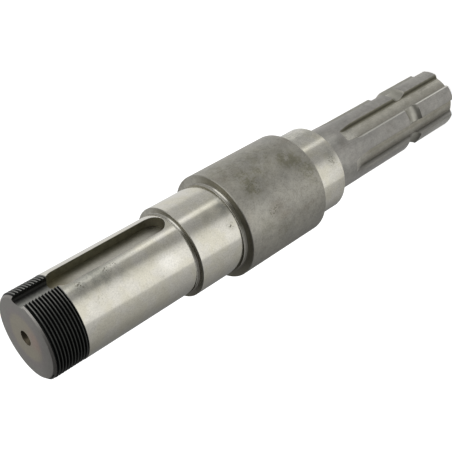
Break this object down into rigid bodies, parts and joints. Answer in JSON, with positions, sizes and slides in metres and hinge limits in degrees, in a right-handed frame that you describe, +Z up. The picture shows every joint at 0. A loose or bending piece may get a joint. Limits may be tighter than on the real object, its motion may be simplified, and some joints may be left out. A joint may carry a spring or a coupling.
{
  "type": "drive shaft",
  "caption": "Stepped steel drive shaft with a threaded, keyed end for a hub, ground bearing seats on both sides of a rough-turned collar, and a splined end with a locking groove.",
  "frame": {"origin": "centre of the splined end face, which it stands on", "axes": "+Z up along the axis to the threaded end, -Y through the middle of the keyway, +X to the right seen from the keyway side"},
  "size_m": [0.053, 0.053, 0.282],
  "materials": {
    "steel": "ground seats, rough-turned collar, milled splines, dark thread"
  },
  "bodies": {
    "root": {"drive_shaft": "steel"}
  },
  "joints": []
}
